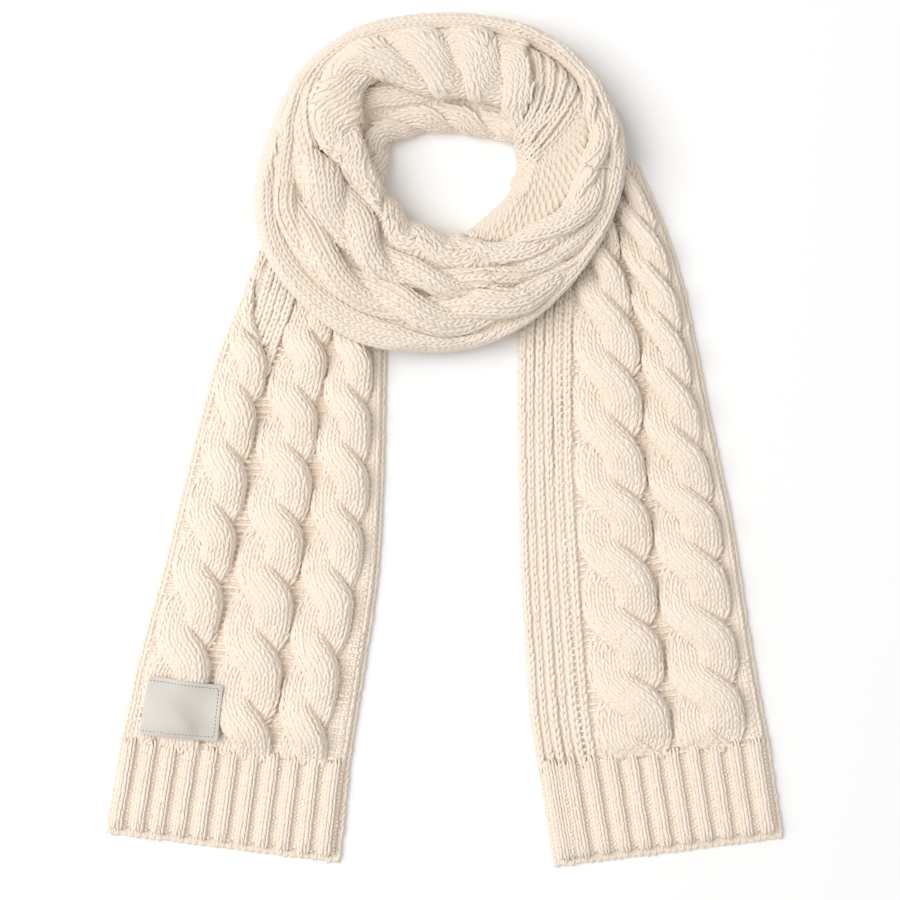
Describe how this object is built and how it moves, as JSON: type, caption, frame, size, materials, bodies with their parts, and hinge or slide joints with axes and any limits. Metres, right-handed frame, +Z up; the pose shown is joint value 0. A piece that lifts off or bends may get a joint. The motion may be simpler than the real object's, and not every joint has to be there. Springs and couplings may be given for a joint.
{
  "type": "knit scarf",
  "caption": "Chunky cable-knit scarf laid flat, wound round its neck opening, with two cabled tails, ribbed hems and a bare label.",
  "frame": {"origin": "centre of the scarf's bounding box, on the surface that it lies on", "axes": "+X to the right across the two tails, +Y from the hems towards the back of the neck, +Z up off the surface"},
  "size_m": [0.607, 0.7658, 0.0554],
  "materials": {
    "yarn": "soft matt cream wool-blend yarn, slightly fuzzy",
    "label": "smooth pale grey satin tab with dark stitching"
  },
  "bodies": {
    "root": {"tail_left_front": "yarn", "tail_left_back": "yarn", "hem_left_front": "yarn", "hem_left_back": "yarn", "tail_right_front": "yarn", "tail_right_back": "yarn", "hem_right_front": "yarn", "hem_right_back": "yarn", "neck_front": "yarn", "neck_back_outer": "yarn", "neck_back_inner": "yarn", "neck_hidden_layers": "yarn", "label": "label"}
  },
  "joints": []
}
